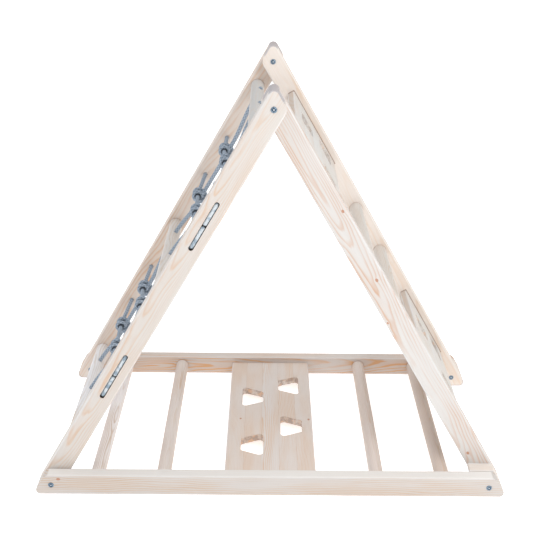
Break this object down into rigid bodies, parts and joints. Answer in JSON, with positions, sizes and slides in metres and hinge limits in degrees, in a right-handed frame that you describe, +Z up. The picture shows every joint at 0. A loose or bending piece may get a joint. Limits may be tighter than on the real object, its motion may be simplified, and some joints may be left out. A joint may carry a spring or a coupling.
{
  "type": "climbing triangle",
  "caption": "Timber climbing triangle for children: a base frame, a rope net frame and a ladder frame with holed boards and rungs, bolted at the corners.",
  "frame": {"origin": "on the floor under the middle of the triangle", "axes": "+X along the base towards the ladder frame, +Y from the front face to the rear face, +Z up"},
  "size_m": [1.049, 0.6056, 0.9117],
  "materials": {
    "rail_wood": "planed and sanded pale softwood, unvarnished",
    "rung_wood": "turned pale softwood, unvarnished",
    "board_wood": "edge-glued pale softwood strips, sanded",
    "rope": "blue-grey braided rope",
    "fasteners": "bright zinc plate"
  },
  "bodies": {
    "base_frame": {"base_rail_front": "rail_wood", "base_rail_rear": "rail_wood", "base_rung_1": "rung_wood", "base_rung_2": "rung_wood", "base_rung_3": "rung_wood", "base_rung_4": "rung_wood", "base_board": "board_wood", "corner_spacer_front": "rail_wood", "corner_spacer_rear": "rail_wood", "left_corner_bolts": "fasteners", "left_corner_sleeve_nuts": "fasteners", "right_corner_bolts": "fasteners"},
    "net_frame": {"net_rail_front": "rail_wood", "net_rail_rear": "rail_wood", "net_rung_top": "rung_wood", "net_rung_middle": "rung_wood", "net_rung_bottom": "rung_wood", "net_rope_1": "rope", "net_rope_2": "rope", "net_rope_3": "rope", "upper_cross_rope": "rope", "lower_cross_rope": "rope", "apex_bolts": "fasteners", "apex_sleeve_nuts": "fasteners"},
    "ladder_frame": {"ladder_rail_front": "rail_wood", "ladder_rail_rear": "rail_wood", "ladder_rung_upper": "rung_wood", "ladder_rung_lower": "rung_wood", "ladder_board_upper": "board_wood", "ladder_board_lower": "board_wood", "right_corner_sleeve_nuts": "fasteners"}
  },
  "joints": [
    {"name": "ladder_fold", "type": "hinge", "parent": "net_frame", "child": "ladder_frame", "pos_m": [0, 0, 0.8737], "axis": [0, 1, 0], "range_deg": [-263, 0]},
    {"name": "net_fold", "type": "hinge", "parent": "base_frame", "child": "net_frame", "pos_m": [-0.49, 0, 0.025], "axis": [0, 1, 0], "range_deg": [0, 33]}
  ],
  "couplings": [
    {"joint": "net_fold", "follows": "ladder_fold", "ratio": -0.1254}
  ]
}
